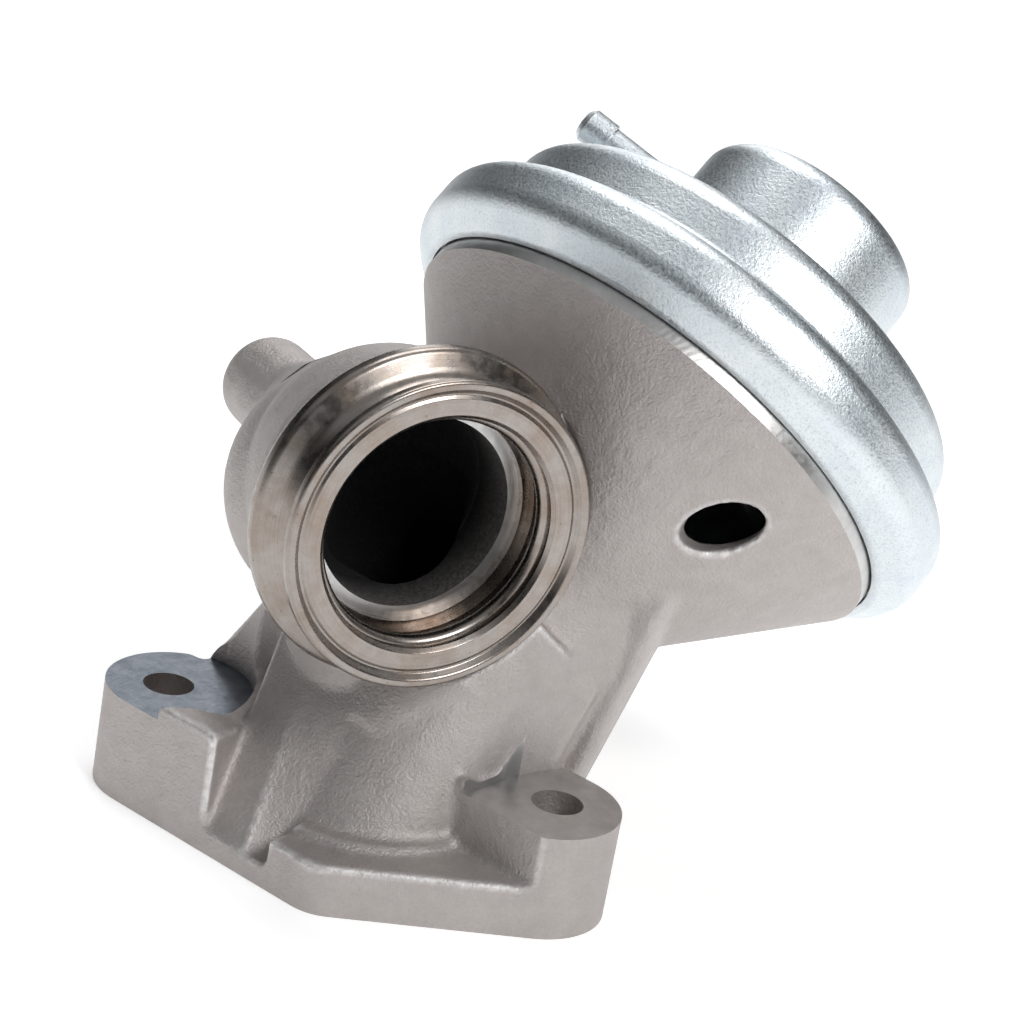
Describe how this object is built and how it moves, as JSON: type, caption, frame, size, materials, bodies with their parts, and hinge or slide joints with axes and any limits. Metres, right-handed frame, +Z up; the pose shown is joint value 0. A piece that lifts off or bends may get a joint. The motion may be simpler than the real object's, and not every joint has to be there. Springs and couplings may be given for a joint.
{
  "type": "egr valve",
  "caption": "Vacuum-operated exhaust gas recirculation valve: cast two-bolt base, clamp-on round inlet and a stepped diaphragm can that lifts a poppet.",
  "frame": {"origin": "on the base's mounting face, midway between the two bolt holes", "axes": "+Z up out of the mounting face, along the bolts. +X runs from one bolt hole to the other, towards the outlet port. The inlet opens to +X -Y, and the actuator leans to +Y."},
  "size_m": [0.0977, 0.1009, 0.0899],
  "materials": {
    "cast_aluminium": "fine sand-cast and shot-blasted, machined faces brighter",
    "zinc_steel": "pale blue-silver satin zinc plate",
    "stainless": "turned and polished, slight tan heat tint",
    "hard_steel": "ground and heat-darkened",
    "ground_steel": "centreless ground",
    "turned_steel": "turned",
    "spring_steel": "oiled wire",
    "bronze": "sintered, matt",
    "graphite": "matt graphite packing",
    "rubber": "fabric-backed, matt"
  },
  "bodies": {
    "housing": {"valve_body": "cast_aluminium", "seat_ring": "hard_steel", "guide_carrier": "turned_steel", "carrier_gasket": "graphite", "guide_bush": "bronze", "soot_deflector": "stainless", "stem_seal": "graphite", "seal_retainer": "turned_steel", "spring_seat": "turned_steel", "return_spring": "spring_steel", "diaphragm": "rubber", "actuator_cover": "zinc_steel", "vacuum_nipple": "zinc_steel", "inlet_collar": "stainless", "collar_front_ring": "stainless", "inlet_seal_ring": "stainless", "inlet_lip_ring": "stainless"},
    "valve": {"valve_stem": "ground_steel", "valve_poppet": "hard_steel", "lower_diaphragm_plate": "zinc_steel", "upper_diaphragm_cup": "zinc_steel", "stem_nut": "zinc_steel"}
  },
  "joints": [
    {"name": "valve_lift", "type": "slide", "parent": "housing", "child": "valve", "axis": [0.3091, 0.6628, 0.682], "range_m": [0, 0.006], "stiffness_N_per_m": 3000, "springref_m": -0.012, "deforming": ["return_spring", "diaphragm"]}
  ]
}
